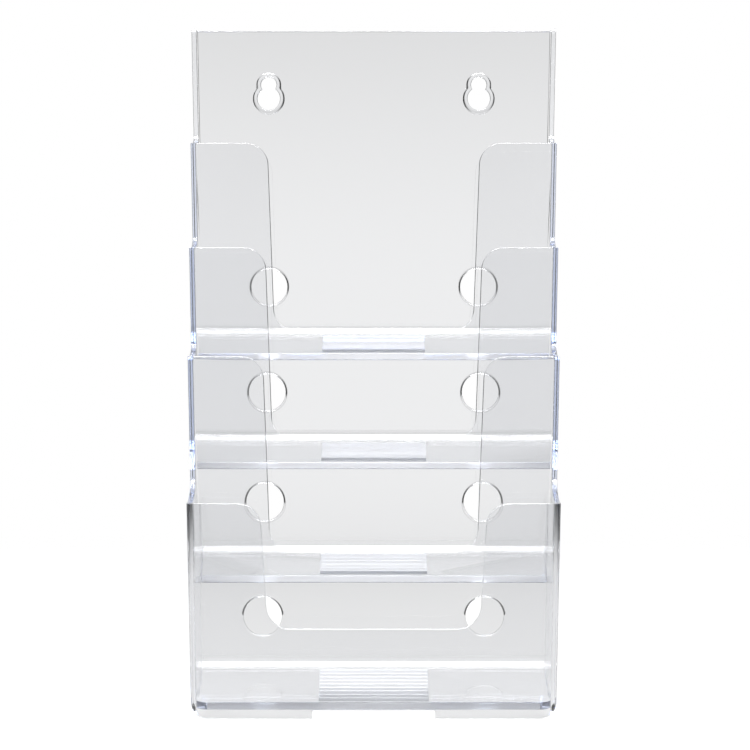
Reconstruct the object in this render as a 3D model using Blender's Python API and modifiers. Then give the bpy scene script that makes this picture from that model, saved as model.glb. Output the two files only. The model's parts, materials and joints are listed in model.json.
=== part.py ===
"""Wall-hung brochure rack: four clear pockets stepping forward, one below the other.

Units are metres, +Z is up, and the rack faces -Y. Seen from the side the rack is a stair: wall
plane 0 lies against the wall, and each sloping floor carries the next plane forward and down.
Depths are counted forward from the wall face, so y = WALL_FACE_Y - depth.
The origin is at the middle of the footprint, at the bottom of the feet.
"""

import math

import bmesh
import bpy
from mathutils import Vector

# ---------------------------------------------------------------- driving dimensions
WIDTH = 0.1763             # across the side walls at the very top
SIDE_DRAFT = 0.0215        # each side wall leans in by this much per metre going down
PANEL_ABOVE_FRONT = 0.0576 # tops of the side rims above the top edge of the first pocket's front

TIERS = 4
TIER_PITCH = 0.0508        # drop from one pocket to the next
TIER_STEP = 0.0360         # depth of the upper pockets, plane to plane
LAST_STEP = 0.0460         # depth of the bottom pocket
FLOOR_SLOPE = 0.320        # fall of a pocket floor per metre going forward

PANEL_THICKNESS = 0.0024   # back panel, front walls and back walls
SIDE_THICKNESS = 0.0024
FLOOR_EDGE = 0.0032        # a floor's height where its front edge shows
FLOOR_FILLET = 0.0050      # inside radius where a floor turns up into the wall behind it

FRONT_HEIGHT = 0.0998      # upper front walls, above their floor's front edge
LAST_FRONT_HEIGHT = 0.0884
LAST_CORNER = 0.0075       # outside radius of the bottom pocket's upright corners

NOTCH_TOP_HALF = 0.0504    # thumb notch, half its width at the top edge
NOTCH_BOTTOM_HALF = 0.0470
NOTCH_RADIUS = 0.0105
NOTCH_SILL = 0.0108        # material left below an upper notch
LAST_NOTCH_SILL = 0.0328

SWEEP_RISE = 0.0060        # how far a side wall's free edge sweeps up towards the plane behind
LAST_SWEEP_RISE = 0.0105
RIM_DEPTH = 0.0050         # the strip of side wall that runs up beside the back panel
RIM_RISE = 0.0012          # the rims stand this much above the back panel
RIM_RADIUS = 0.0025

HOLE_SPACING = 0.1010      # two round holes through the wall behind each pocket
HOLE_RADIUS = 0.0087
HOLE_ABOVE_FLOOR = 0.0216

KEYHOLE_SPACING = 0.1016   # hanging slots, 4 inches apart
KEYHOLE_DROP = 0.0273      # rim top down to the centre of the narrow end
KEYHOLE_TRAVEL = 0.0067    # narrow end down to wide end
KEYHOLE_NARROW = 0.0038    # radii of the two ends
KEYHOLE_WIDE = 0.0055
COLLAR_WIDTH = 0.0022      # raised collar round each slot, round like a bead
COLLAR_HEIGHT = 0.0014
COLLAR_ROUND = 0.0011
COLLAR_STEPS = 4

STAIR_HALF = 0.0244        # half the width of the stepped patch on each floor
STAIR_TREAD = 0.0038
STAIR_MARGIN = 0.0018      # floor left plain at each end of the patch
STAIR_ROOT = 0.0008        # how deep the steps are rooted in the floor

FOOT_HEIGHT = 0.0038
FOOT_GAP_HALF = 0.0273     # half the opening between the two feet
FOOT_CORNER = 0.0075       # radius of the outer bottom corners
FOOT_GAP_RADIUS = 0.0010

BOND_GAP = 0.0003          # left between neighbouring pieces, where the real rack is one plastic

ARC_STEP = math.radians(10)
CUT_MARGIN = 0.0100        # how far a cutter runs past what it cuts

# ---------------------------------------------------------------- derived places
TOTAL_DEPTH = (TIERS - 1) * TIER_STEP + LAST_STEP + PANEL_THICKNESS
WALL_FACE_Y = TOTAL_DEPTH / 2
FRONT_LEAN = (math.pi / 2 - math.atan(FLOOR_SLOPE)) / 2
SEAM_RISE = FLOOR_FILLET * math.tan(FRONT_LEAN)
LAST_INNER_CORNER = LAST_CORNER - max(SIDE_THICKNESS, PANEL_THICKNESS)


def half_width(z):
    """Outside of a side wall, from the middle of the rack."""
    return WIDTH / 2 - SIDE_DRAFT * (HEIGHT - z)


def inner_half_width(z):
    """Where a panel between the side walls ends."""
    return half_width(z) - SIDE_THICKNESS - BOND_GAP


def plane_depth(plane):
    """Depth of the rear face of a wall plane; plane 0 is the back panel."""
    if plane < TIERS:
        return plane * TIER_STEP
    return (TIERS - 1) * TIER_STEP + LAST_STEP


def plane_front(plane):
    return plane_depth(plane) + PANEL_THICKNESS


def floor_corner(tier):
    """Height at which a floor's top surface meets the wall behind it, before the fillet."""
    last = FOOT_HEIGHT + FLOOR_EDGE + FLOOR_SLOPE * (LAST_STEP - PANEL_THICKNESS)
    return last + (TIERS - tier) * TIER_PITCH


def floor_top(tier, depth):
    """A floor slopes as far as its front wall, and runs level through it."""
    run = min(depth, plane_depth(tier)) - plane_front(tier - 1)
    return floor_corner(tier) - FLOOR_SLOPE * run


def floor_underside(tier, depth):
    return floor_top(tier, depth) - FLOOR_EDGE


def floor_seam(tier):
    """Height at which a floor's upturned rear edge ends and the wall behind it begins."""
    return floor_corner(tier) + SEAM_RISE


def front_top(tier):
    height = LAST_FRONT_HEIGHT if tier == TIERS else FRONT_HEIGHT
    return floor_top(tier, plane_front(tier)) + height


def notch_bottom(tier):
    sill = LAST_NOTCH_SILL if tier == TIERS else NOTCH_SILL
    return floor_top(tier, plane_front(tier)) + sill


HEIGHT = front_top(1) + PANEL_ABOVE_FRONT   # feet to the tops of the side rims


# ---------------------------------------------------------------- outlines
def arc_points(centre, radius, start, sweep):
    """Points along an arc, both ends included."""
    count = max(2, math.ceil(abs(sweep) / ARC_STEP))
    points = []
    for i in range(count + 1):
        angle = start + sweep * i / count
        points.append((centre[0] + radius * math.cos(angle), centre[1] + radius * math.sin(angle)))
    return points


def rounded_outline(corners):
    """Turn (u, v, radius) corners into points, with an arc at each corner that has a radius."""
    points = []
    for i, (u, v, radius) in enumerate(corners):
        if radius == 0:
            points.append((u, v))
            continue
        corner = Vector((u, v))
        back = (Vector(corners[i - 1][:2]) - corner).normalized()
        ahead = (Vector(corners[(i + 1) % len(corners)][:2]) - corner).normalized()
        opening = back.angle(ahead)
        centre = corner + (back + ahead).normalized() * radius / math.sin(opening / 2)
        reach = radius / math.tan(opening / 2)
        first = corner + back * reach - centre
        last = corner + ahead * reach - centre
        start = math.atan2(first.y, first.x)
        sweep = math.remainder(math.atan2(last.y, last.x) - start, 2 * math.pi)
        points += arc_points(centre, radius, start, sweep)
    return points


def circle_outline(u, v, radius):
    return arc_points((u, v), radius, 0, 2 * math.pi)[:-1]


def keyhole_outline(u, extra):
    """Narrow circle over wide circle, both grown by extra; u is the slot's middle."""
    narrow = KEYHOLE_NARROW + extra
    wide = KEYHOLE_WIDE + extra
    narrow_v = HEIGHT - KEYHOLE_DROP
    wide_v = narrow_v - KEYHOLE_TRAVEL
    rise = (KEYHOLE_TRAVEL ** 2 + wide ** 2 - narrow ** 2) / (2 * KEYHOLE_TRAVEL)
    wide_angle = math.asin(rise / wide)
    narrow_angle = math.asin((rise - KEYHOLE_TRAVEL) / narrow)
    lower = arc_points((u, wide_v), wide, math.pi - wide_angle, math.pi + 2 * wide_angle)
    upper = arc_points((u, narrow_v), narrow, narrow_angle, math.pi - 2 * narrow_angle)
    return lower + upper[1:-1]


def mirrored(right_half):
    """Complete a symmetric outline from its right half, listed from bottom to top."""
    return right_half + [(-u, v, radius) for u, v, radius in reversed(right_half)]


# ---------------------------------------------------------------- building tools
def clear_plastic(name, tint):
    material = bpy.data.materials.new(name + "_plastic")
    material.use_nodes = True
    shader = material.node_tree.nodes["Principled BSDF"]
    shader.inputs["Base Color"].default_value = (*tint, 1.0)
    shader.inputs["Metallic"].default_value = 0.0
    shader.inputs["Roughness"].default_value = 0.06
    shader.inputs["IOR"].default_value = 1.59
    shader.inputs["Alpha"].default_value = 0.35
    return material


def extruded(name, outlines, thickness, collection):
    """A flat solid from closed outlines, the first one outside; its outline lies in local XY."""
    curve = bpy.data.curves.new(name, "CURVE")
    curve.dimensions = "2D"
    curve.fill_mode = "BOTH"
    curve.extrude = thickness / 2
    for outline in outlines:
        spline = curve.splines.new("POLY")
        spline.points.add(len(outline) - 1)
        for point, (u, v) in zip(spline.points, outline):
            point.co = (u, v, 0, 1)
        spline.use_cyclic_u = True
    drawn = bpy.data.objects.new(name + "_outline", curve)
    bpy.context.scene.collection.objects.link(drawn)
    evaluated = drawn.evaluated_get(bpy.context.evaluated_depsgraph_get())
    mesh = bpy.data.meshes.new_from_object(evaluated)
    mesh.name = name
    solid = bpy.data.objects.new(name, mesh)
    solid.matrix_world = drawn.matrix_world
    bpy.data.objects.remove(drawn)
    bpy.data.curves.remove(curve)
    collection.objects.link(solid)
    weld(mesh)
    return solid


def weld(mesh):
    work = bmesh.new()
    work.from_mesh(mesh)
    bmesh.ops.remove_doubles(work, verts=work.verts, dist=0.00001)
    bmesh.ops.recalc_face_normals(work, faces=work.faces)
    work.to_mesh(mesh)
    work.free()


def join_flats(mesh):
    """Make each flat end one face, so that its rim can be rounded."""
    work = bmesh.new()
    work.from_mesh(mesh)
    bmesh.ops.dissolve_limit(work, angle_limit=math.radians(1), verts=work.verts, edges=work.edges)
    work.to_mesh(mesh)
    work.free()


def stand_facing_front(solid, depth):
    """Stand an outline up across the rack, centred on a depth from the wall face."""
    solid.rotation_euler = (math.pi / 2, 0, 0)
    solid.location = (0, WALL_FACE_Y - depth, 0)


def stand_sideways(solid):
    """Stand a (depth, height) outline up in the YZ plane; its thickness then runs along -X."""
    solid.rotation_euler = (math.pi / 2, 0, -math.pi / 2)
    solid.location = (0, WALL_FACE_Y, 0)


def end_at_side_walls(mesh):
    """Move the ends of a sideways extrusion to the drafted inner faces of the side walls."""
    for vertex in mesh.vertices:
        vertex.co.z = math.copysign(inner_half_width(vertex.co.y), vertex.co.z)


def lean_with_draft(solid, top):
    """Stand a plan outline on the ground, its sides leaning in with the draft from top down."""
    solid.location = (0, WALL_FACE_Y, top / 2)
    for vertex in solid.data.vertices:
        lean = SIDE_DRAFT * (top / 2 - vertex.co.z)
        vertex.co.x -= math.copysign(lean, vertex.co.x)


def as_cutter(solid):
    solid.hide_render = True
    solid.display_type = "WIRE"
    return solid


def add_boolean(solid, other, operation):
    modifier = solid.modifiers.new(other.name, "BOOLEAN")
    modifier.operation = operation
    modifier.solver = "EXACT"
    modifier.object = other


def shade_round_parts(solid):
    solid.data.shade_smooth()
    solid.data.set_sharp_from_angle(angle=math.radians(30))


# ---------------------------------------------------------------- the pieces
def make_back_panel(parts, cutters):
    """Flat panel against the wall, with two keyhole slots in raised collars and two round holes."""
    bottom = floor_seam(1) + BOND_GAP
    top = HEIGHT - RIM_RISE
    outline = [(-inner_half_width(bottom), bottom), (inner_half_width(bottom), bottom),
               (inner_half_width(top), top), (-inner_half_width(top), top)]
    outlines = [outline] + round_holes(1)
    panel = extruded("back_panel", outlines, PANEL_THICKNESS, parts)
    stand_facing_front(panel, PANEL_THICKNESS / 2)
    for label, side in (("left", -1), ("right", 1)):
        middle = side * KEYHOLE_SPACING / 2
        collar = make_collar(label, middle, cutters)
        slot_depth = PANEL_THICKNESS + COLLAR_HEIGHT + 2 * CUT_MARGIN
        slot = extruded(label + "_keyhole", [keyhole_outline(middle, 0)], slot_depth, cutters)
        stand_facing_front(slot, PANEL_THICKNESS / 2)
        add_boolean(panel, collar, "UNION")
        add_boolean(panel, as_cutter(slot), "DIFFERENCE")
    return panel


def make_collar(label, middle, cutters):
    """A solid keyhole-shaped boss with a round edge, rooted half-way into the panel."""
    root = PANEL_THICKNESS / 2
    collar = extruded(label + "_collar", [keyhole_outline(middle, COLLAR_WIDTH)],
                      root + COLLAR_HEIGHT, cutters)
    stand_facing_front(collar, root + (root + COLLAR_HEIGHT) / 2)
    join_flats(collar.data)
    bevel = collar.modifiers.new("edge", "BEVEL")
    bevel.width = COLLAR_ROUND
    bevel.segments = COLLAR_STEPS
    bevel.limit_method = "ANGLE"
    bevel.use_clamp_overlap = False
    return as_cutter(collar)


def round_holes(tier):
    height = floor_corner(tier) + HOLE_ABOVE_FLOOR
    return [circle_outline(side * HOLE_SPACING / 2, height, HOLE_RADIUS) for side in (-1, 1)]


def make_back_wall(tier, parts):
    """The wall behind a lower pocket, between its floor and the floor in front of it above."""
    bottom = floor_seam(tier) + BOND_GAP
    top = floor_underside(tier - 1, plane_front(tier - 1)) - BOND_GAP
    outline = [(-inner_half_width(bottom), bottom), (inner_half_width(bottom), bottom),
               (inner_half_width(top), top), (-inner_half_width(top), top)]
    outlines = [outline] + round_holes(tier)
    wall = extruded(f"back_wall_{tier}", outlines, PANEL_THICKNESS, parts)
    stand_facing_front(wall, plane_depth(tier - 1) + PANEL_THICKNESS / 2)
    return wall


def notch_corners(tier):
    """Right half of a front wall's top edge, from the outside in and down into the notch."""
    top = front_top(tier)
    return [(NOTCH_TOP_HALF, top, NOTCH_RADIUS), (NOTCH_BOTTOM_HALF, notch_bottom(tier), NOTCH_RADIUS)]


def make_front_wall(tier, parts):
    """The front of an upper pocket: a flat panel standing on its floor's front edge."""
    bottom = floor_top(tier, plane_front(tier)) + BOND_GAP
    top = front_top(tier)
    right = [(inner_half_width(bottom), bottom, 0), (inner_half_width(top), top, 0)]
    outline = rounded_outline(mirrored(right + notch_corners(tier)))
    wall = extruded(f"front_wall_{tier}", [outline], PANEL_THICKNESS, parts)
    stand_facing_front(wall, plane_depth(tier) + PANEL_THICKNESS / 2)
    return wall


def make_last_front_wall(parts, cutters):
    """The bottom pocket's front: a channel with round upright corners, standing on two feet."""
    top = front_top(TIERS)
    front = plane_front(TIERS)
    outer = half_width(top)
    inner = outer - SIDE_THICKNESS
    plan = [(outer, -(front - LAST_CORNER), 0), (outer, -front, LAST_CORNER),
            (-outer, -front, LAST_CORNER), (-outer, -(front - LAST_CORNER), 0),
            (-inner, -(front - LAST_CORNER), 0), (-inner, -plane_depth(TIERS), LAST_INNER_CORNER),
            (inner, -plane_depth(TIERS), LAST_INNER_CORNER), (inner, -(front - LAST_CORNER), 0)]
    wall = extruded(f"front_wall_{TIERS}", [rounded_outline(plan)], top, parts)
    lean_with_draft(wall, top)
    face = make_last_front_face(top, cutters)
    add_boolean(wall, face, "INTERSECT")
    return wall


def make_last_front_face(top, cutters):
    """What the bottom front wall shows from the front: notch, feet and round lower corners."""
    right = [(FOOT_GAP_HALF, FOOT_HEIGHT, FOOT_GAP_RADIUS), (FOOT_GAP_HALF, 0, 0),
             (half_width(0), 0, FOOT_CORNER), (half_width(top), top, 0)]
    outline = rounded_outline(mirrored(right + notch_corners(TIERS)))
    depth = LAST_CORNER + 2 * CUT_MARGIN
    face = extruded("last_front_face", [outline], depth, cutters)
    stand_facing_front(face, plane_front(TIERS) + CUT_MARGIN - depth / 2)
    return as_cutter(face)


def floor_profile(tier):
    """Side view of a floor: upturned rear edge, filleted bend, slope down to its front edge."""
    rear = plane_depth(tier - 1)
    wall_front = plane_front(tier - 1)
    front = plane_front(tier)
    foot = plane_depth(tier)
    return rounded_outline([
        (rear, floor_seam(tier), 0),
        (rear, floor_underside(tier, rear), FLOOR_FILLET + PANEL_THICKNESS),
        (foot, floor_underside(tier, foot), 0),
        (front, floor_underside(tier, front), 0),
        (front, floor_top(tier, front), 0),
        (foot, floor_top(tier, foot), 0),
        (wall_front, floor_corner(tier), FLOOR_FILLET),
        (wall_front, floor_seam(tier), 0),
    ])


def stair_profile(tier):
    """Side view of the stepped patch: level treads and upright risers down the slope."""
    start = plane_front(tier - 1) + FLOOR_FILLET + STAIR_MARGIN
    length = plane_depth(tier) - STAIR_MARGIN - start
    count = max(1, int(length / STAIR_TREAD))
    tread = length / count
    points = []
    for i in range(count):
        depth = start + i * tread
        level = floor_top(tier, depth)
        points += [(depth, level), (depth + tread, level)]
    end = start + length
    points += [(end, floor_top(tier, end) - STAIR_ROOT), (start, floor_top(tier, start) - STAIR_ROOT)]
    return points


def make_last_floor_plan(cutters):
    """Plan of the bottom floor, which ends inside the round corners of its front wall."""
    top = front_top(TIERS)
    outer = inner_half_width(top)
    front = plane_depth(TIERS) - BOND_GAP
    radius = LAST_INNER_CORNER - BOND_GAP
    rear = plane_depth(TIERS - 1) - CUT_MARGIN
    plan = [(outer, -rear, 0), (outer, -front, radius), (-outer, -front, radius), (-outer, -rear, 0)]
    cutter = extruded("last_floor_plan", [rounded_outline(plan)], top, cutters)
    lean_with_draft(cutter, top)
    return as_cutter(cutter)


def make_floor(tier, parts, cutters):
    floor = extruded(f"floor_{tier}", [floor_profile(tier)], WIDTH, parts)
    stand_sideways(floor)
    if tier == TIERS:
        add_boolean(floor, make_last_floor_plan(cutters), "INTERSECT")
    else:
        end_at_side_walls(floor.data)
    stair = extruded(f"floor_stair_{tier}", [stair_profile(tier)], 2 * STAIR_HALF, cutters)
    stand_sideways(stair)
    add_boolean(floor, as_cutter(stair), "UNION")
    return floor


def free_edge(front, top, rear, rise):
    """The side wall's free edge: level at the front, sweeping up and back to upright."""
    points = []
    count = math.ceil(math.pi / 2 / ARC_STEP)
    for i in range(count + 1):
        angle = math.pi / 2 * (1 - i / count)
        depth = rear + (front - rear) * (1 - math.cos(angle))
        points.append((depth, top + rise * (1 - math.sin(angle)), 0))
    return points


def side_corners(tier):
    """Side view of one tier's side wall, from its lower rear corner round to its upper rear one."""
    rear = plane_depth(tier - 1)
    front = plane_front(tier)
    if tier == TIERS:
        front -= LAST_CORNER + BOND_GAP
    top = front_top(tier)
    corners = [(rear, floor_underside(tier, rear), FLOOR_FILLET + PANEL_THICKNESS)]
    if tier < TIERS:
        corners.append((plane_depth(tier), floor_underside(tier, front), 0))
    corners.append((front, floor_underside(tier, front), 0))
    if tier == 1:
        corners += free_edge(front, top, RIM_DEPTH, SWEEP_RISE)
        corners += [(RIM_DEPTH, HEIGHT, RIM_RADIUS), (rear, HEIGHT, 0)]
        return corners
    rise = LAST_SWEEP_RISE if tier == TIERS else SWEEP_RISE
    behind = plane_front(tier - 1) + BOND_GAP
    step = floor_underside(tier - 1, plane_front(tier - 1)) - BOND_GAP
    corners += free_edge(front, top, behind, rise)
    corners += [(behind, step, 0), (rear, step, 0)]
    return corners


def make_side(label, side, tier, parts):
    """One tier's side wall, leaning in with the draft; side is -1 on the left and 1 on the right."""
    wall = extruded(f"{label}_side_{tier}", [rounded_outline(side_corners(tier))],
                    SIDE_THICKNESS, parts)
    for vertex in wall.data.vertices:
        middle = half_width(vertex.co.y) - SIDE_THICKNESS / 2
        vertex.co.z -= side * middle
    stand_sideways(wall)
    return wall


# ---------------------------------------------------------------- assembly
def new_collection(name):
    collection = bpy.data.collections.new(name)
    bpy.context.scene.collection.children.link(collection)
    return collection


def main():
    for old in list(bpy.data.objects):
        bpy.data.objects.remove(old)
    parts = new_collection("brochure_rack")
    cutters = new_collection("cutters")
    root = bpy.data.objects.new("rack_origin", None)
    parts.objects.link(root)

    panel_tint = (0.84, 0.85, 0.86)
    floor_tint = (0.92, 0.93, 0.95)
    side_tint = (0.70, 0.76, 0.86)
    pieces = [(make_back_panel(parts, cutters), panel_tint)]
    for tier in range(1, TIERS):
        pieces.append((make_front_wall(tier, parts), panel_tint))
    pieces.append((make_last_front_wall(parts, cutters), panel_tint))
    for tier in range(2, TIERS + 1):
        pieces.append((make_back_wall(tier, parts), panel_tint))
    for tier in range(1, TIERS + 1):
        pieces.append((make_floor(tier, parts, cutters), floor_tint))
        for label, side in (("left", -1), ("right", 1)):
            pieces.append((make_side(label, side, tier, parts), side_tint))

    for piece, tint in pieces:
        piece.data.materials.clear()
        piece.data.materials.append(clear_plastic(piece.name, tint))
        piece.parent = root
        shade_round_parts(piece)


main()
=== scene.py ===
# %% [markdown]
# # A clear four-pocket brochure rack
#
# The rack hangs on a wall by two keyhole slots. It is moulded from crystal polystyrene, a plastic
# as clear as glass and a little more refractive. This lesson gives each moulded piece its clear
# plastic, its rounded arrises and its satin faces, and lights them in a plain, bright studio.
#
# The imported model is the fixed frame: the size and place of every piece are read from it.

# %% Load the fixed frame
import json
import math

import bmesh
import bpy
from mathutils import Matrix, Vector


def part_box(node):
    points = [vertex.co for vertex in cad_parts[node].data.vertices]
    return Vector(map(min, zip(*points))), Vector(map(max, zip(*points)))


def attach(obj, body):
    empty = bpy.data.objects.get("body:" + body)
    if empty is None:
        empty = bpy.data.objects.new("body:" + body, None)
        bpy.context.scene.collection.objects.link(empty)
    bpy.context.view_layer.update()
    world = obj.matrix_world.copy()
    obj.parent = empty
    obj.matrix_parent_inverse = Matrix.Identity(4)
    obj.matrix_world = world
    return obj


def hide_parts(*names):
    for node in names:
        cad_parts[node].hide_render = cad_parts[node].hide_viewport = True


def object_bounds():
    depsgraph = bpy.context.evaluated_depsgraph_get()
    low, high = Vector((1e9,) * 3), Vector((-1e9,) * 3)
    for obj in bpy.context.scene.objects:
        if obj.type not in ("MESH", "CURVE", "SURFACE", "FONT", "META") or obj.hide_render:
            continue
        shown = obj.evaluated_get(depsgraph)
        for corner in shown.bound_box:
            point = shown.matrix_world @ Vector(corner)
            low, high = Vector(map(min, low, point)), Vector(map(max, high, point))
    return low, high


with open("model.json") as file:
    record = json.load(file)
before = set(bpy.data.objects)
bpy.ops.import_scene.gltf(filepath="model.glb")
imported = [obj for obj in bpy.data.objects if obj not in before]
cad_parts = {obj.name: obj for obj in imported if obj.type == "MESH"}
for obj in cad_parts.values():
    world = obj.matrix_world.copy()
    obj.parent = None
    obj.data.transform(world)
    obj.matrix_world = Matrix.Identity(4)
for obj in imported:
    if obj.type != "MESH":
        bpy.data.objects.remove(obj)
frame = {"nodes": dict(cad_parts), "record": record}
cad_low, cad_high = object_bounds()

centre_x = (cad_low.x + cad_high.x) / 2
print("rack", [round((high - low) * 1000, 1) for low, high in zip(cad_low, cad_high)], "mm")

# %% [markdown]
# ## Colour
#
# Colours are written as designers know them, as sRGB hex values. A shader works in linear light,
# so one function turns the one into the other.

# %% Hex colours to linear light
def linear(hex_colour):
    """Turn '#RRGGBB' into linear red, green, blue and an alpha of 1."""
    channels = [int(hex_colour[i:i + 2], 16) / 255 for i in (1, 3, 5)]
    return [c / 12.92 if c <= 0.04045 else ((c + 0.055) / 1.055) ** 2.4 for c in channels] + [1.0]


print("white", linear("#FFFFFF"))

# %% [markdown]
# ## One helper for every node
#
# A shader is a chain of nodes. One small function adds a node, sets its values and makes its
# links, so each material below reads as a short list.

# %% Add a node with its settings and links
def add_node(tree, kind, settings=None, inputs=None, links=None):
    """Add a node; links maps an input to the output socket that feeds it."""
    node = tree.nodes.new(kind)
    for name, value in (settings or {}).items():
        setattr(node, name, value)
    for name, value in (inputs or {}).items():
        node.inputs[name].default_value = value
    for name, socket in (links or {}).items():
        tree.links.new(socket, node.inputs[name])
    return node


print("node helper ready")

# %% [markdown]
# ## Crystal polystyrene
#
# General-purpose polystyrene has an index of refraction of 1.59, more than glass, and comes out of
# a polished mould with a mirror finish. A touch of blue toner hides its yellow, and shows where the
# eye looks into the length of a wall and not through it. That is absorption: the colour belongs to
# the inside of the plastic, and grows with the path that the light takes.
#
# A Glass BSDF would do, but a Principled BSDF with full transmission also travels to other
# programs. Very faint waves from the flow of the melt keep the wide panels from being too perfect.
# The floors and the side walls are narrow, and stay as true as their mould. A few faces come off
# steel that was cut and not polished: they are satin, scatter the light and look white.

# %% Clear moulded polystyrene
POLYSTYRENE_IOR = 1.59
MM_PER_M = 1000
FLOW_WAVE_MM = 30.0        # spacing of the faint waves that the flowing melt leaves
FLOW_WAVE_HEIGHT = 0.00001 # a hundredth of a millimetre


def moulded_polystyrene(name, surface, inside, absorb_per_metre, clarity=1.0, gloss=1.0, wavy=False):
    """Clear plastic: a surface tint, and an inside colour that deepens along the light's path."""
    material = bpy.data.materials.new(name)
    material.use_nodes = True
    tree = material.node_tree
    tree.nodes.clear()
    plastic = add_node(tree, "ShaderNodeBsdfPrincipled",
                       inputs={"Base Color": linear(surface), "Roughness": 1 - gloss,
                               "IOR": POLYSTYRENE_IOR, "Transmission Weight": clarity})
    if wavy:
        place = add_node(tree, "ShaderNodeTexCoord")
        waves = add_node(tree, "ShaderNodeTexNoise",
                         inputs={"Scale": MM_PER_M / FLOW_WAVE_MM, "Detail": 1.0,
                                 "Roughness": 0.4},
                         links={"Vector": place.outputs["Object"]})
        bump = add_node(tree, "ShaderNodeBump", inputs={"Distance": FLOW_WAVE_HEIGHT},
                        links={"Height": waves.outputs["Fac"]})
        tree.links.new(bump.outputs["Normal"], plastic.inputs["Normal"])
    toner = add_node(tree, "ShaderNodeVolumeAbsorption",
                     inputs={"Color": linear(inside), "Density": absorb_per_metre})
    add_node(tree, "ShaderNodeOutputMaterial",
             links={"Surface": plastic.outputs["BSDF"], "Volume": toner.outputs["Volume"]})
    return material


TONER_BLUE = "#9DB6E4"
PLASTICS = {
    "clear_panel": moulded_polystyrene("polystyrene_panel", "#F9F9F9", TONER_BLUE, 12.0, wavy=True),
    "clear_floor": moulded_polystyrene("polystyrene_floor", "#FCFCFC", TONER_BLUE, 14.0, clarity=0.995),
    "clear_side": moulded_polystyrene("polystyrene_side", "#FCFCFC", TONER_BLUE, 12.0, clarity=0.97),
}
SATIN = moulded_polystyrene("polystyrene_satin", "#FFFFFF", TONER_BLUE, 8.0, clarity=0.55, gloss=0.80)
print("materials", sorted(PLASTICS))

# %% [markdown]
# ## Rounded arrises
#
# A mould never leaves a razor edge, and on clear plastic the small round is what the eye sees: it
# bends the light sideways and draws a thin dark or bright line. How round an edge is depends on
# where it is. The rims of the round holes are rounded nearly through the wall, the free edges that
# a hand touches a little more than the other arrises. The floors grow out of the walls and are
# rounded only along their front edges. A Bevel modifier takes a weight for each edge, so one
# function gives every sharp edge its radius.

# %% How round each edge is
RIM_ROUND = 0.00112        # round holes: nearly half the wall from each face
KEYHOLE_ROUND = 0.00028    # keyhole slots, inside their collars
KEYHOLE_ZONE = 0.060       # they lie this close to the top of the back panel
FREE_ROUND = 0.00045       # top edges and thumb notches
ARRIS = 0.00030            # everything else
ROUND_SEGMENTS = 5         # facets in a rounded edge, shaded smooth
HAIR = 0.00002             # too thin to be seen
SHARP = math.radians(30)   # the steps of an arc turn less than this
INSET = 0.006              # a hole's rim lies at least this far inside its panel
slot_of = {part["node"]: part["material_slot"] for part in frame["record"]["subparts"]}


def is_hole_rim(place, low, high):
    """Holes lie well inside the outline of a back panel or back wall."""
    return (low.x + INSET < place.x < high.x - INSET) and (low.z + INSET < place.z < high.z - INSET)


def edge_radius(edge, node, low, high):
    """The radius of an edge, from the piece that it is on and where its middle lies."""
    if not edge.is_manifold or edge.calc_face_angle() < SHARP or not edge.is_convex:
        return 0
    place = (edge.verts[0].co + edge.verts[1].co) / 2
    if node.startswith("floor"):
        return ARRIS if place.y < low.y + HAIR else 0
    if node.startswith("back") and is_hole_rim(place, low, high):
        in_keyhole = node == "back_panel" and place.z > high.z - KEYHOLE_ZONE
        return KEYHOLE_ROUND if in_keyhole else RIM_ROUND
    if node.startswith("front_wall") and place.z > low.z + INSET and abs(place.x) < high.x - INSET:
        return FREE_ROUND
    return ARRIS


print("radii", [round(radius * MM_PER_M, 2) for radius in (RIM_ROUND, FREE_ROUND, ARRIS)], "mm")

# %% [markdown]
# ## Closing the bonds
#
# The real rack is one piece of plastic. The solids keep a hair of air between neighbours, and in
# clear plastic a gap shows as a bright slit. Where a wall stands on a floor, or a floor hangs from
# a wall, the end face of the wall is therefore moved until it all but touches, and stays sharp.

# %% Move a wall's end faces up to the floors
BOND_GAP = 0.0003


def bonded_ends(node):
    """Which ends of a piece are bonded to a floor: -1 is the bottom, 1 the top."""
    if node.startswith("back_wall"):
        return (-1, 1)
    if node == "back_panel" or node in ("front_wall_1", "front_wall_2", "front_wall_3"):
        return (-1,)
    return ()


def close_bonds(work, node, low, high):
    """Move the end faces and return their corners, which get no rounding."""
    corners = set()
    for end in bonded_ends(node):
        level = high.z if end > 0 else low.z
        ends = [vertex for vertex in work.verts if abs(vertex.co.z - level) < HAIR]
        for vertex in ends:
            vertex.co.z += end * (BOND_GAP - HAIR)
        corners.update(ends)
    return corners


print("bonded to floors:", [node for node in sorted(frame["nodes"]) if bonded_ends(node)])

# %% [markdown]
# ## Flats round the holes
#
# A rim rounds cleanly when a narrow band of faces runs beside it. The pierced pieces therefore get
# new flats: their old triangles go, each sharp outline gets a band inside it, and a fill of new
# triangles joins the bands.

# %% Bands and fill for a pierced flat
BAND = 1.3                 # width of a band, as a share of the rounding beside it
FLAT = 0.999               # how square to an axis a face must be to count as square


def rim_chains(faces):
    """For each corner on the rim of a group of faces, the next corner and the way into the faces."""
    group = set(faces)
    after = {}
    inward = {}
    for face in faces:
        for loop in face.loops:
            if sum(other in group for other in loop.edge.link_faces) != 1:
                continue
            start, end = loop.vert, loop.link_loop_next.vert
            after[start] = end
            inward[start, end] = face.normal.cross(end.co - start.co).normalized()
    return after, inward


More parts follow.
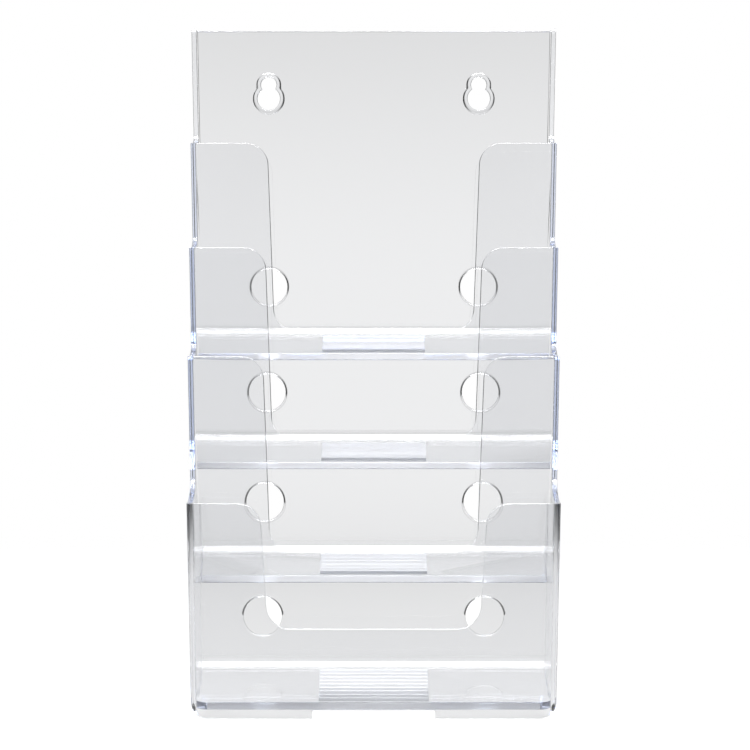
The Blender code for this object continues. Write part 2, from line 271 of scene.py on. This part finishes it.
def band_inside(work, chain, inward, width):
    """Add a band of faces inside one closed outline; returns the edges of its inner side."""
    count = len(chain)
    inner = []
    for i, vertex in enumerate(chain):
        first = inward[chain[i - 1], vertex]
        second = inward[vertex, chain[(i + 1) % count]]
        mitre = (first + second).normalized()
        inner.append(work.verts.new(vertex.co + mitre * width / mitre.dot(first)))
    for i in range(count):
        j = (i + 1) % count
        work.faces.new((chain[i], chain[j], inner[j], inner[i]))
    return [work.edges.get((inner[i], inner[(i + 1) % count])) for i in range(count)]


def renew_flat(work, faces, radii):
    """Replace a group of coplanar faces by bands along its sharp outlines and a fill between them."""
    after, inward = rim_chains(faces)
    bmesh.ops.delete(work, geom=faces, context="FACES_KEEP_BOUNDARY")
    edges = []
    left = set(after)
    while left:
        vertex = min(left, key=lambda v: (round(v.co.x, 5), round(v.co.z, 5)))
        chain = []
        while vertex in left:
            left.discard(vertex)
            chain.append(vertex)
            vertex = after[vertex]
        radius = radii[work.edges.get(chain[:2])]
        if radius > 0:
            edges += band_inside(work, chain, inward, radius * BAND)
        else:
            edges += [work.edges.get((chain[i - 1], chain[i])) for i in range(len(chain))]
    bmesh.ops.triangle_fill(work, use_beauty=True, use_dissolve=False, edges=edges)


def renew_flats(work, node, low, high):
    """Renew each flat that faces the front or the wall."""
    radii = {edge: edge_radius(edge, node, low, high) for edge in work.edges}
    flats = {}
    for face in work.faces:
        if abs(face.normal.y) > FLAT:
            level = (face.normal.y > 0, round(face.calc_center_median().y, 4))
            flats.setdefault(level, []).append(face)
    for level in sorted(flats):
        renew_flat(work, flats[level], radii)
    bmesh.ops.recalc_face_normals(work, faces=work.faces)


print("pierced:", [node for node in sorted(frame["nodes"]) if node.startswith("back")])

# %% [markdown]
# ## Satin steps
#
# The sloping floors have a stepped patch in the middle. Its treads are level and its risers
# upright. Only the floor's front edge is upright too, and it is as dull as the steps are, so the
# direction of a face picks out what is satin.

# %% Find the satin faces
STEPS_HALF = 0.030         # the patch ends nearer to the middle than this


def is_satin(face):
    """Treads face straight up, risers and the front edge straight to the front."""
    in_middle = abs(face.calc_center_median().x) < STEPS_HALF
    return in_middle and (face.normal.z > FLAT or face.normal.y < -FLAT)


print("satin within", STEPS_HALF * MM_PER_M, "mm of the middle")

# %% [markdown]
# ## The pieces
#
# Each piece starts as a copy of its solid, cleaned of the edges that only split a flat. The Bevel
# modifier then rounds it, and a Weighted Normal modifier turns the shading of the wide faces flat,
# so that the smooth shading of a rounded edge doesn't leak into them.

# %% Make a piece's mesh from its solid
SAME_PLACE = 0.00001       # corners this close are one corner
SAME_PLANE = math.radians(0.5)


def moulded_mesh(node):
    """A copy of a solid with closed bonds, a radius for each edge and its satin faces marked."""
    low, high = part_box(node)
    mesh = bpy.data.meshes.new("moulded_" + node)
    work = bmesh.new()
    work.from_mesh(frame["nodes"][node].data)
    bmesh.ops.remove_doubles(work, verts=work.verts, dist=SAME_PLACE)
    bmesh.ops.dissolve_limit(work, angle_limit=SAME_PLANE, verts=work.verts, edges=work.edges)
    if node.startswith("back"):
        renew_flats(work, node, low, high)
    bonded = close_bonds(work, node, low, high)
    roundness = work.edges.layers.float.new("bevel_weight_edge")
    for edge in work.edges:
        radius = 0 if bonded.intersection(edge.verts) else edge_radius(edge, node, low, high)
        edge[roundness] = radius / RIM_ROUND
        edge.smooth = radius > 0 or edge.calc_face_angle() < SHARP
    for face in work.faces:
        face.smooth = True
        face.material_index = int(node.startswith("floor") and is_satin(face))
    work.to_mesh(mesh)
    work.free()
    return mesh


print("corners within", SAME_PLACE * MM_PER_M, "mm are one corner")

# %% Put each piece in the place of its solid
def moulded_piece(node):
    """A piece with rounded arrises and its own plastic."""
    piece = bpy.data.objects.new("moulded_" + node, moulded_mesh(node))
    bpy.context.scene.collection.objects.link(piece)
    bevel = piece.modifiers.new("arris", "BEVEL")
    bevel.width = RIM_ROUND
    bevel.segments = ROUND_SEGMENTS
    bevel.limit_method = "WEIGHT"
    bevel.use_clamp_overlap = False
    flats = piece.modifiers.new("flats", "WEIGHTED_NORMAL")
    flats.mode = "FACE_AREA"
    flats.weight = 100     # the widest faces decide alone
    flats.keep_sharp = True
    piece.data.materials.append(PLASTICS[slot_of[node]])
    if node.startswith("floor"):
        piece.data.materials.append(SATIN)
    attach(piece, "root")
    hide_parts(node)
    return piece


pieces = [moulded_piece(node) for node in sorted(frame["nodes"])]
print(len(pieces), "moulded pieces")

# %% [markdown]
# ## Floor
#
# A round of grey board lies under the feet and is lit from above. It also glows, though there is no lamp
# below it. The glow is painted light, and round the feet it is stronger: a painted pool of light that
# keeps the rack's shadow light. Its edge fades out, and no horizon shows. In the open it is over-exposed,
# as a white sweep is; through the plastic, its plain brightness shows.

# %% The board's painted glow
BOARD_FADE = (0.9, 1.94)   # where the fade starts and ends
PAINTED_BOARD_GLOW = 0.60          # painted glow: the board's own emission, with no lamp behind it
PAINTED_GLOW_ROUND_FEET = 0.76           # stronger painted glow round the feet, a painted pool of light in the rack's shadow
NEAR = (0.06, 0.26)        # the one gives way to the other between these distances
BOARD_GLARE = 0.26         # over-exposure


def painted_glow_board():
    """A grey board with a painted glow that is stronger round the feet, fading out towards its edge."""
    material = bpy.data.materials.new("board_with_painted_glow")
    material.use_nodes = True
    tree = material.node_tree
    tree.nodes.clear()
    place = add_node(tree, "ShaderNodeTexCoord")
    radius = add_node(tree, "ShaderNodeVectorMath", {"operation": "LENGTH"},
                      links={0: place.outputs["Object"]})
    fade = add_node(tree, "ShaderNodeMapRange", {"interpolation_type": "SMOOTHSTEP"},
                    inputs={"From Min": BOARD_FADE[0], "From Max": BOARD_FADE[1]},
                    links={"Value": radius.outputs["Value"]})
    paint = add_node(tree, "ShaderNodeBsdfDiffuse", inputs={"Color": linear("#505050")})
    ray = add_node(tree, "ShaderNodeLightPath")
    # Painted light: the glow is stronger round the feet, where it lightens the rack's shadow.
    glow = add_node(tree, "ShaderNodeMapRange", {"interpolation_type": "SMOOTHSTEP"},
                    inputs={"From Min": NEAR[0], "From Max": NEAR[1], "To Min": PAINTED_GLOW_ROUND_FEET,
                            "To Max": PAINTED_BOARD_GLOW},
                    links={"Value": radius.outputs["Value"]})
    glare = add_node(tree, "ShaderNodeMath", {"operation": "MULTIPLY_ADD"}, inputs={1: BOARD_GLARE},
                     links={0: ray.outputs["Is Camera Ray"], 2: glow.outputs["Result"]})
    shine = add_node(tree, "ShaderNodeEmission", links={"Strength": glare.outputs["Value"]})
    lit = add_node(tree, "ShaderNodeAddShader", links={0: paint.outputs["BSDF"],
                                                       1: shine.outputs["Emission"]})
    clear = add_node(tree, "ShaderNodeBsdfTransparent")
    mix = add_node(tree, "ShaderNodeMixShader",
                   links={0: fade.outputs["Result"], 1: lit.outputs["Shader"], 2: clear.outputs["BSDF"]})
    add_node(tree, "ShaderNodeOutputMaterial", links={"Surface": mix.outputs["Shader"]})
    return material


print("glow", PAINTED_GLOW_ROUND_FEET, "round the feet,", PAINTED_BOARD_GLOW, "further out")

# %% The board
BOARD_RADIUS = 2.0
BOARD_CORNERS = 96
BOARD_DROP = 0.0003        # a hair below the feet
bpy.ops.mesh.primitive_circle_add(vertices=BOARD_CORNERS, radius=BOARD_RADIUS, fill_type="NGON",
                                  location=(centre_x, 0, cad_low.z - BOARD_DROP))
board = bpy.context.active_object
board.name = "studio_floor"
board.data.materials.append(painted_glow_board())
print("board", BOARD_RADIUS, "m in radius")

# %% [markdown]
# ## Studio
#
# Clear plastic has no colour of its own to light. What makes it visible is what it bends and
# mirrors, so the surroundings are the lighting. Four pale screens stand round the rack, with dark
# gaps between them: a flat panel shows a screen, and a rounded edge bends the dark gap into view.
# Each screen is brightest at eye level and falls off upwards and downwards, and the one in front is
# dimmer. Behind the rack the view is plain white.
#
# The whole room is one World shader. The direction of a ray gives its rise, which is the sine of
# its elevation, and its heading. Ramps turn them into brightness, and a few sums join the ramps.

# %% Which way a ray goes
def ray_values(tree):
    """How a ray rises, how far it heads to the back, and how squarely it meets a screen."""
    place = add_node(tree, "ShaderNodeTexCoord")
    direction = place.outputs["Generated"]
    level = add_node(tree, "ShaderNodeVectorMath", {"operation": "MULTIPLY"},
                     inputs={1: (1, 1, 0)}, links={0: direction})
    heading = add_node(tree, "ShaderNodeVectorMath", {"operation": "NORMALIZE"},
                       links={0: level.outputs["Vector"]})
    turned = add_node(tree, "ShaderNodeVectorMath", {"operation": "ABSOLUTE"},
                      links={0: heading.outputs["Vector"]})
    along = [add_node(tree, "ShaderNodeSeparateXYZ", links={"Vector": vector})
             for vector in (direction, heading.outputs["Vector"], turned.outputs["Vector"])]
    facing = add_node(tree, "ShaderNodeMath", {"operation": "MAXIMUM"},
                      links={0: along[2].outputs["X"], 1: along[2].outputs["Y"]})
    return {"rise": along[0].outputs["Z"], "backward": along[1].outputs["Y"],
            "facing": facing.outputs["Value"]}


print("the screens stand square to X and to Y")

# %% Bright-field surroundings
EYE_LEVEL = 0.93           # brightness of a screen at the height of the eye
LOWER = 0.79               # and towards the ground
UPPER = 0.71               # and above the rack
HIGH = 0.85                # and high up
GAP = 0.06                 # share of that light in the gaps between the screens
FRONT = 0.80               # share of that light on the screen in front of the rack

RAMPS = (                  # name, what it follows, where it starts and ends, its first and last value
    ("above", "rise", 0.02, 0.15, EYE_LEVEL, UPPER),
    ("below", "rise", -0.08, -0.02, LOWER, EYE_LEVEL),
    ("high", "rise", 0.15, 0.60, 1.0, HIGH / UPPER),
    ("gap", "rise", 0.30, 0.60, GAP, 1.0),
    ("screen", "facing", 0.94, 0.99, 0.0, 1.0),
    ("front", "backward", -0.95, -0.5, FRONT, 1.0),
)
SUMS = (                   # name, operation and its two terms
    ("screens", "MAXIMUM", "screen", "gap"),
    ("eye_level", "MINIMUM", "above", "below"),
    ("height", "MULTIPLY", "eye_level", "high"),
    ("around", "MULTIPLY", "screens", "front"),
    ("strength", "MULTIPLY", "height", "around"),
)


def studio_world():
    """Pale screens round the rack as the World's light, and plain white behind it."""
    world = bpy.data.worlds.new("studio")
    bpy.context.scene.world = world
    world.use_nodes = True
    tree = world.node_tree
    tree.nodes.clear()
    values = ray_values(tree)
    for name, follows, start, end, first, last in RAMPS:
        ramp = add_node(tree, "ShaderNodeMapRange", {"interpolation_type": "SMOOTHSTEP"},
                        inputs={"From Min": start, "From Max": end, "To Min": first, "To Max": last},
                        links={"Value": values[follows]})
        values[name] = ramp.outputs["Result"]
    for name, operation, first, second in SUMS:
        total = add_node(tree, "ShaderNodeMath", {"operation": operation},
                         links={0: values[first], 1: values[second]})
        values[name] = total.outputs["Value"]

    white = {"Color": linear("#FFFFFF")}
    screens = add_node(tree, "ShaderNodeBackground", inputs=white, links={"Strength": values["strength"]})
    backdrop = add_node(tree, "ShaderNodeBackground", inputs=white | {"Strength": 1.0})
    ray = add_node(tree, "ShaderNodeLightPath")
    seen = add_node(tree, "ShaderNodeMixShader",
                    links={0: ray.outputs["Is Camera Ray"], 1: screens.outputs["Background"],
                           2: backdrop.outputs["Background"]})
    add_node(tree, "ShaderNodeOutputWorld", links={"Surface": seen.outputs["Shader"]})


studio_world()
print(len(RAMPS), "ramps and", len(SUMS), "sums light the room")

# %% [markdown]
# ## Lamps
#
# A broad soft box overhead lights the fillets and the board. A second one, high in front, reaches
# into the pockets and turns the satin faces white. It hangs high enough that no flat floor can
# mirror it by way of the wall behind.

# %% Two soft boxes
middle = (cad_low + cad_high) / 2
SOFT_BOXES = (             # name, place and aim from the rack's middle, width and depth, watts
    ("overhead_box", (0, 0.25, 1.6), (0, 0.25, 0), (1.8, 1.6), 62),
    ("front_box", (0, -0.85, 1.6), (0, 0, 0), (1.6, 0.6), 60),
)
for name, place, aim, size, watts in SOFT_BOXES:
    lamp = bpy.data.lights.new(name, "AREA")
    lamp.shape = "RECTANGLE"
    lamp.size, lamp.size_y = size
    lamp.energy = watts
    box = bpy.data.objects.new(name, lamp)
    bpy.context.scene.collection.objects.link(box)
    box.location = middle + Vector(place)
    box.rotation_euler = (Vector(aim) - Vector(place)).to_track_quat("-Z", "Y").to_euler()
print(len(SOFT_BOXES), "soft boxes")

# %% [markdown]
# ## Camera
#
# A long lens, square on to the rack and a little below its middle, keeps the four planes nearly
# the same size, and still lets each nearer pocket look slightly wider than the one behind it. The
# distance is counted from the front of the back panel, which is as thick as the walls below it.

# %% Camera square on
FACE_DISTANCE = 1.820      # from the front of the back panel
FRAME_WIDTH = 0.363        # what the frame takes in at that distance
EYE_HEIGHT = 0.1523        # above the bottom of the feet
EYE_RIGHT = 0.0006         # a hair off centre
wall_low, wall_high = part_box("back_wall_2")
panel_front = cad_high.y - (wall_high.y - wall_low.y)

camera = bpy.data.objects.new("camera", bpy.data.cameras.new("camera"))
bpy.context.scene.collection.objects.link(camera)
camera.location = (centre_x + EYE_RIGHT, panel_front - FACE_DISTANCE, cad_low.z + EYE_HEIGHT)
camera.rotation_euler = (math.pi / 2, 0, 0)
camera.data.lens = camera.data.sensor_width * FACE_DISTANCE / FRAME_WIDTH
camera.data.clip_start = 0.1
camera.data.clip_end = 50
scene = bpy.context.scene
scene.camera = camera
print("lens", round(camera.data.lens, 1), "mm")

# %% [markdown]
# ## Light paths
#
# A ray that looks into the rack may cross twenty surfaces and be mirrored many times inside a wall.
# With too few bounces it would end there, and the plastic would turn black.

# %% Enough bounces for clear plastic
scene.view_settings.view_transform = "Standard"
scene.cycles.max_bounces = 64
scene.cycles.transmission_bounces = 64
scene.cycles.glossy_bounces = 16
print("bounces", scene.cycles.max_bounces)
